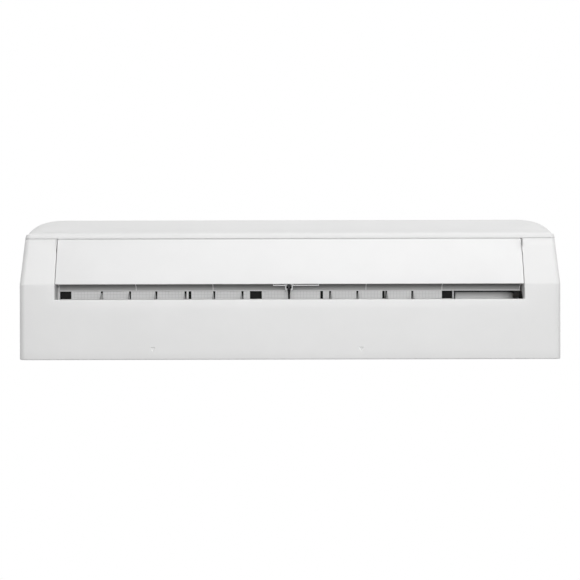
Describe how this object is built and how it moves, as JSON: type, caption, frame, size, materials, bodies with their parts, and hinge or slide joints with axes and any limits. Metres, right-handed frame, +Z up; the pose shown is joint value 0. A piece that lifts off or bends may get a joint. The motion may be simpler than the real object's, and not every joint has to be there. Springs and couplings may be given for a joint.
{
  "type": "mini split indoor unit",
  "caption": "Wall-hung indoor unit of a split air conditioner: hinged front panel over an intake slot, cross-flow fan, outlet louver and vanes underneath.",
  "frame": {"origin": "on the back face of the wall plate, in the middle of the case's width, 150 mm above the underside of the case", "axes": "+X to the right seen from the front, +Y into the wall, +Z up; the front panel faces -Y"},
  "size_m": [1.08, 0.23, 0.283],
  "materials": {
    "casing_white": "fine satin moulded ABS, slightly warm white",
    "panel_white": "smooth semi-gloss white",
    "louver_white": "satin white",
    "filter_white": "white net on a ribbed frame",
    "mould_grey": "grey moulded polystyrene",
    "fan_black": "glass-filled black plastic",
    "vane_black": "dark grey plastic",
    "black_rubber": "soft black rubber",
    "zinc_sheet": "galvanised sheet",
    "bare_steel": "plated steel",
    "aluminium_fins": "stacked thin fins",
    "copper_tube": "drawn copper",
    "brass_nut": "machined brass",
    "board_green": "lacquered circuit board",
    "part_black": "black component plastic"
  },
  "bodies": {
    "case": {"front_casing": "casing_white", "top_cover": "casing_white", "top_grille": "casing_white", "panel_catch": "casing_white", "filter_guide": "casing_white", "rear_chassis": "mould_grey", "wall_plate": "zinc_sheet", "outlet_housing": "mould_grey", "drain_plug": "black_rubber", "fan_bearing": "black_rubber", "fan_motor": "zinc_sheet", "motor_clamp": "mould_grey", "coil_lower": "aluminium_fins", "coil_upper": "aluminium_fins", "coil_rear": "aluminium_fins", "coil_end_left": "copper_tube", "coil_end_right": "copper_tube", "louver_motor": "zinc_sheet", "vane_motor_left": "zinc_sheet", "vane_motor_right": "zinc_sheet", "electrical_box": "mould_grey", "electrical_cover": "casing_white", "control_board": "board_green", "board_capacitor": "part_black", "board_transformer": "part_black", "terminal_block": "part_black", "cable_clamp": "part_black", "display_board": "board_green", "air_sensor": "part_black", "gas_pipe": "copper_tube", "gas_flare_nut": "brass_nut", "liquid_pipe": "copper_tube", "liquid_flare_nut": "brass_nut", "casing_screw_1": "bare_steel", "casing_screw_2": "bare_steel", "casing_screw_3": "bare_steel", "casing_screw_4": "bare_steel"},
    "panel": {"front_panel": "panel_white"},
    "filter_left": {"filter_left": "filter_white"},
    "filter_right": {"filter_right": "filter_white"},
    "fan": {"fan_rotor": "fan_black", "motor_shaft": "bare_steel"},
    "louver": {"louver": "louver_white"},
    "vane_1": {"vane_1": "vane_black"},
    "vane_2": {"vane_2": "vane_black"},
    "vane_3": {"vane_3": "vane_black"},
    "vane_4": {"vane_4": "vane_black"},
    "vane_5": {"vane_5": "vane_black"},
    "vane_6": {"vane_6": "vane_black"},
    "vane_7": {"vane_7": "vane_black"},
    "vane_8": {"vane_8": "vane_black"},
    "vane_9": {"vane_9": "vane_black"},
    "vane_10": {"vane_10": "vane_black"},
    "vane_link_left": {"vane_link_left": "vane_black"},
    "vane_link_right": {"vane_link_right": "vane_black"}
  },
  "joints": [
    {"name": "panel_hinge", "type": "hinge", "parent": "case", "child": "panel", "pos_m": [0, -0.18744, 0.08938], "axis": [-1, 0, 0], "range_deg": [0, 65]},
    {"name": "filter_left_lift", "type": "slide", "parent": "case", "child": "filter_left", "axis": [0, 0, 1], "range_m": [0, 0.006]},
    {"name": "filter_right_lift", "type": "slide", "parent": "case", "child": "filter_right", "axis": [0, 0, 1], "range_m": [0, 0.006]},
    {"name": "fan_spin", "type": "hinge", "parent": "case", "child": "fan", "pos_m": [0, -0.098, -0.032], "axis": [1, 0, 0], "continuous": true},
    {"name": "louver_tilt", "type": "hinge", "parent": "case", "child": "louver", "pos_m": [0, -0.13, -0.142], "axis": [1, 0, 0], "range_deg": [0, 75]},
    {"name": "vane_1_swing", "type": "hinge", "parent": "case", "child": "vane_1", "pos_m": [-0.40905, -0.17756, -0.09184], "axis": [0, 0.809, -0.5878], "range_deg": [-35, 35]},
    {"name": "vane_2_swing", "type": "hinge", "parent": "case", "child": "vane_2", "pos_m": [-0.33315, -0.17756, -0.09184], "axis": [0, 0.809, -0.5878], "range_deg": [-35, 35]},
    {"name": "vane_3_swing", "type": "hinge", "parent": "case", "child": "vane_3", "pos_m": [-0.25725, -0.17756, -0.09184], "axis": [0, 0.809, -0.5878], "range_deg": [-35, 35]},
    {"name": "vane_4_swing", "type": "hinge", "parent": "case", "child": "vane_4", "pos_m": [-0.18135, -0.17756, -0.09184], "axis": [0, 0.809, -0.5878], "range_deg": [-35, 35]},
    {"name": "vane_5_swing", "type": "hinge", "parent": "case", "child": "vane_5", "pos_m": [-0.10545, -0.17756, -0.09184], "axis": [0, 0.809, -0.5878], "range_deg": [-35, 35]},
    {"name": "vane_6_swing", "type": "hinge", "parent": "case", "child": "vane_6", "pos_m": [-0.02955, -0.17756, -0.09184], "axis": [0, 0.809, -0.5878], "range_deg": [-35, 35]},
    {"name": "vane_7_swing", "type": "hinge", "parent": "case", "child": "vane_7", "pos_m": [0.04635, -0.17756, -0.09184], "axis": [0, 0.809, -0.5878], "range_deg": [-35, 35]},
    {"name": "vane_8_swing", "type": "hinge", "parent": "case", "child": "vane_8", "pos_m": [0.12225, -0.17756, -0.09184], "axis": [0, 0.809, -0.5878], "range_deg": [-35, 35]},
    {"name": "vane_9_swing", "type": "hinge", "parent": "case", "child": "vane_9", "pos_m": [0.19815, -0.17756, -0.09184], "axis": [0, 0.809, -0.5878], "range_deg": [-35, 35]},
    {"name": "vane_10_swing", "type": "hinge", "parent": "case", "child": "vane_10", "pos_m": [0.27405, -0.17756, -0.09184], "axis": [0, 0.809, -0.5878], "range_deg": [-35, 35]},
    {"name": "vane_link_left_slide", "type": "slide", "parent": "case", "child": "vane_link_left", "axis": [-1, 0, 0], "range_m": [-0.0095, 0.0095]},
    {"name": "vane_link_right_slide", "type": "slide", "parent": "case", "child": "vane_link_right", "axis": [-1, 0, 0], "range_m": [-0.0095, 0.0095]}
  ],
  "couplings": [
    {"joint": "vane_1_swing", "follows": "vane_3_swing", "ratio": 1},
    {"joint": "vane_2_swing", "follows": "vane_3_swing", "ratio": 1},
    {"joint": "vane_4_swing", "follows": "vane_3_swing", "ratio": 1},
    {"joint": "vane_5_swing", "follows": "vane_3_swing", "ratio": 1},
    {"joint": "vane_6_swing", "follows": "vane_8_swing", "ratio": 1},
    {"joint": "vane_7_swing", "follows": "vane_8_swing", "ratio": 1},
    {"joint": "vane_9_swing", "follows": "vane_8_swing", "ratio": 1},
    {"joint": "vane_10_swing", "follows": "vane_8_swing", "ratio": 1},
    {"joint": "vane_link_left_slide", "follows": "vane_3_swing", "m_per_rad": 0.01536},
    {"joint": "vane_link_right_slide", "follows": "vane_8_swing", "m_per_rad": 0.01536}
  ]
}
